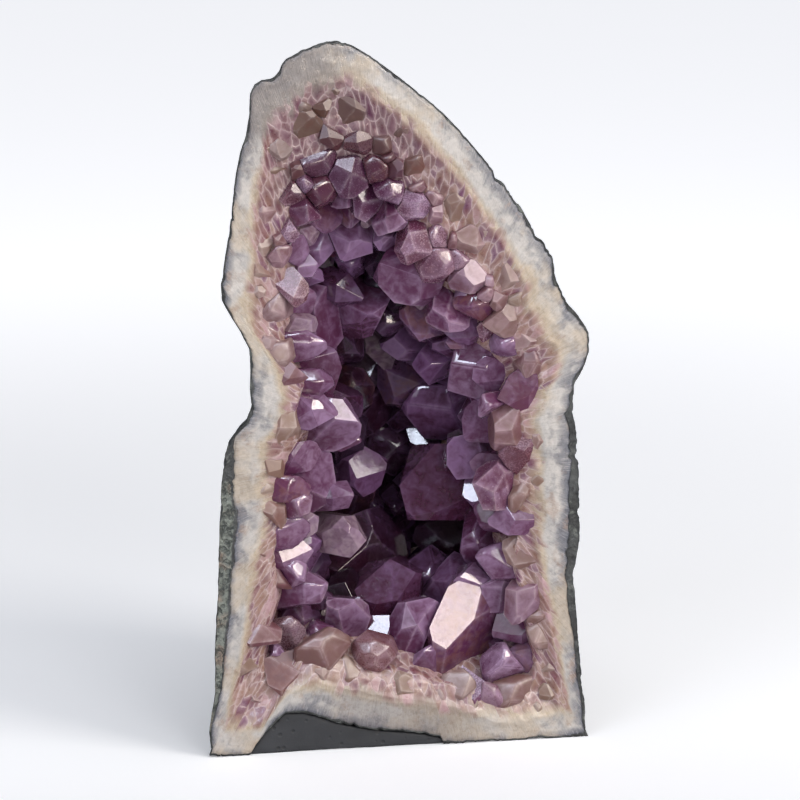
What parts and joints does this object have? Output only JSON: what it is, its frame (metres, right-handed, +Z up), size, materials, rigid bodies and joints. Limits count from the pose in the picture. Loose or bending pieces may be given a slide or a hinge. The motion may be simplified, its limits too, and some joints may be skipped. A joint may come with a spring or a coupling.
{
  "type": "amethyst geode",
  "caption": "Tall amethyst cathedral, sawn open: dark rock rind, pale chalcedony band, quartz bed and purple crystals round a deep hollow, on a low cast foot.",
  "frame": {"origin": "centre of the bounding box's underside, on the surface that the geode stands on", "axes": "+Z up; -Y out of the sawn open face; +X to the right, seen from in front of that face"},
  "size_m": [0.1626, 0.118, 0.2998],
  "materials": {
    "rind": "matte",
    "foot": "matte",
    "band": "satin",
    "bed": "satin",
    "amethyst": "polished",
    "amethyst_deep": "polished"
  },
  "bodies": {
    "root": {"basalt_rind": "rind", "cast_foot": "foot", "chalcedony_band": "band", "crystal_back_01": "amethyst_deep", "crystal_back_02": "amethyst_deep", "crystal_back_03": "amethyst_deep", "crystal_back_04": "amethyst_deep", "crystal_back_05": "amethyst_deep", "crystal_back_06": "amethyst_deep", "crystal_back_07": "amethyst_deep", "crystal_floor_01": "amethyst", "crystal_floor_02": "amethyst", "crystal_floor_03": "amethyst", "crystal_floor_04": "amethyst", "crystal_floor_05": "amethyst", "crystal_floor_06": "amethyst", "crystal_left_01": "amethyst", "crystal_left_02": "amethyst", "crystal_left_03": "amethyst", "crystal_left_04": "amethyst", "crystal_left_05": "amethyst", "crystal_left_06": "amethyst", "crystal_left_07": "amethyst", "crystal_left_08": "amethyst", "crystal_left_09": "amethyst", "crystal_left_10": "amethyst", "crystal_left_11": "amethyst", "crystal_left_12": "amethyst", "crystal_left_13": "amethyst", "crystal_left_14": "amethyst", "crystal_left_15": "amethyst", "crystal_left_16": "amethyst", "crystal_left_17": "amethyst", "crystal_left_18": "amethyst", "crystal_left_19": "amethyst", "crystal_left_20": "amethyst", "crystal_left_21": "amethyst", "crystal_left_22": "amethyst", "crystal_right_01": "amethyst", "crystal_right_02": "amethyst", "crystal_right_03": "amethyst", "crystal_right_04": "amethyst", "crystal_right_05": "amethyst", "crystal_right_06": "amethyst", "crystal_right_07": "amethyst", "crystal_right_08": "amethyst", "crystal_right_09": "amethyst", "crystal_right_10": "amethyst", "crystal_right_11": "amethyst", "crystal_right_12": "amethyst", "crystal_right_13": "amethyst", "crystal_right_14": "amethyst", "crystal_right_15": "amethyst", "crystal_right_16": "amethyst", "crystal_right_17": "amethyst", "crystal_right_18": "amethyst", "crystal_right_19": "amethyst", "crystal_right_20": "amethyst", "quartz_bed": "bed"}
  },
  "joints": []
}
